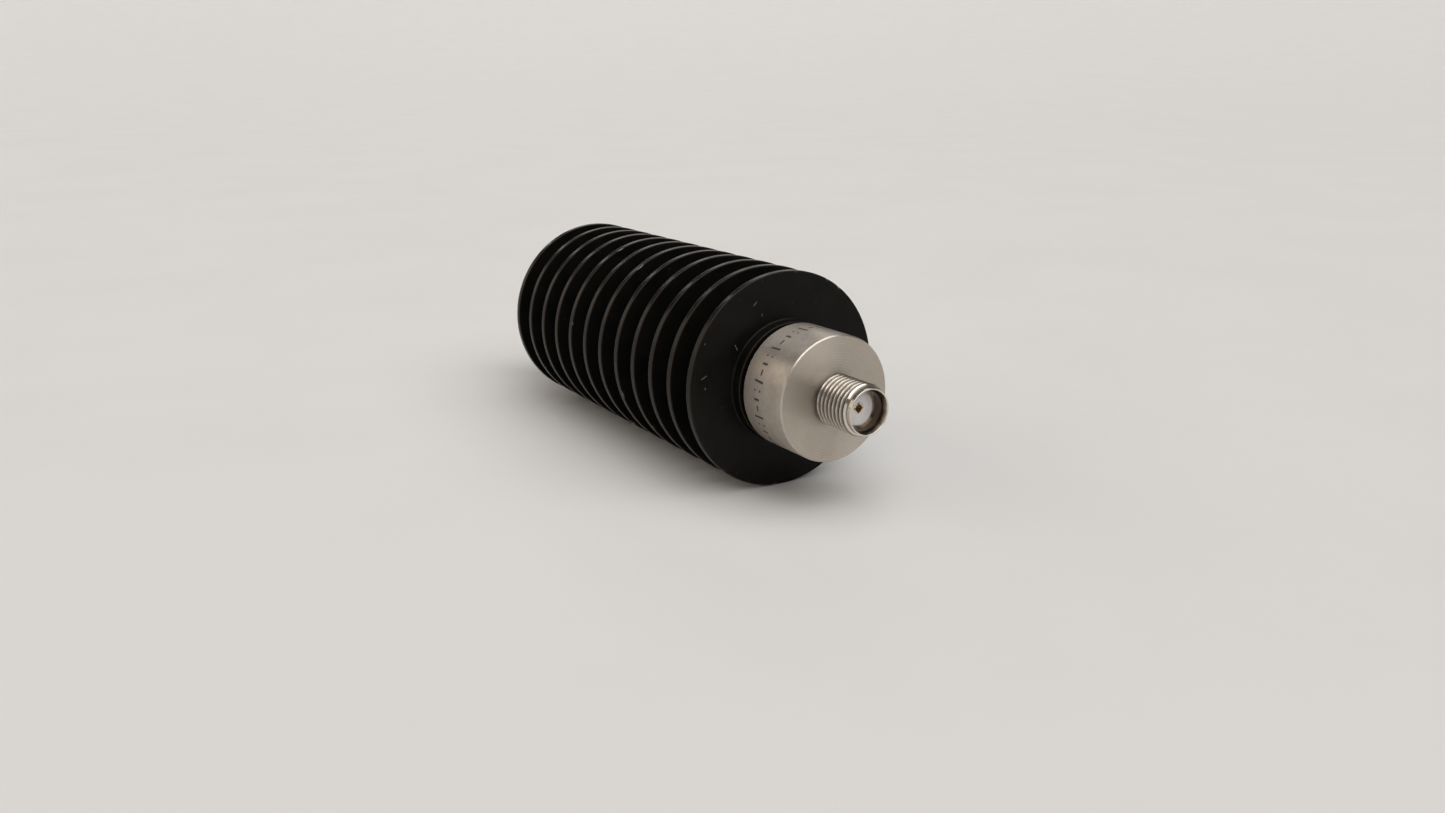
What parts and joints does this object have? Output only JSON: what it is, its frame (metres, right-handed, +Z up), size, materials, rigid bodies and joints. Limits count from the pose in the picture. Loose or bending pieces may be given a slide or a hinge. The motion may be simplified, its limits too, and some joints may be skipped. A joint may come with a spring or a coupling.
{
  "type": "coaxial attenuator",
  "caption": "Finned coaxial attenuator with a round black heat sink, a threaded socket connector in front and a plug connector with a turning hexagon nut behind.",
  "frame": {"origin": "on the surface it lies on, under the middle of its length", "axes": "+X along the common axis towards the socket connector, +Z up"},
  "size_m": [0.0882, 0.0274, 0.0274],
  "materials": {
    "black_anodised": "satin black anodised, with edges worn brighter",
    "stainless_steel": "turned and lightly brushed",
    "plain_brass": "machined",
    "gold_plate": "gold plated",
    "spring_bronze": "plain",
    "white_insulator": "waxy white fluoropolymer",
    "white_ceramic": "fine matt",
    "black_rubber": "matt",
    "red_rubber": "matt silicone"
  },
  "bodies": {
    "attenuator_body": {"heat_sink": "black_anodised", "centre_tube": "plain_brass", "front_connector_body": "stainless_steel", "rear_connector_body": "stainless_steel", "front_insulator": "white_insulator", "rear_insulator": "white_insulator", "front_bead": "white_insulator", "rear_bead": "white_insulator", "front_lock_ring": "plain_brass", "rear_lock_ring": "plain_brass", "front_contact": "gold_plate", "rear_contact": "gold_plate", "front_pad_clip": "gold_plate", "rear_pad_clip": "gold_plate", "left_ground_spring": "gold_plate", "right_ground_spring": "gold_plate", "front_seal_ring": "black_rubber", "rear_seal_ring": "black_rubber", "coupling_gasket": "red_rubber", "nut_retaining_ring": "spring_bronze", "upper_block": "plain_brass", "lower_block": "plain_brass", "attenuator_card": "white_ceramic", "block_screw_1": "stainless_steel", "block_screw_2": "stainless_steel", "block_screw_3": "stainless_steel", "block_screw_4": "stainless_steel"},
    "nut_body": {"coupling_nut": "stainless_steel"}
  },
  "joints": [
    {"name": "nut_turn", "type": "hinge", "parent": "attenuator_body", "child": "nut_body", "pos_m": [-0.0403, 0, 0.0137], "axis": [1, 0, 0], "continuous": true}
  ]
}
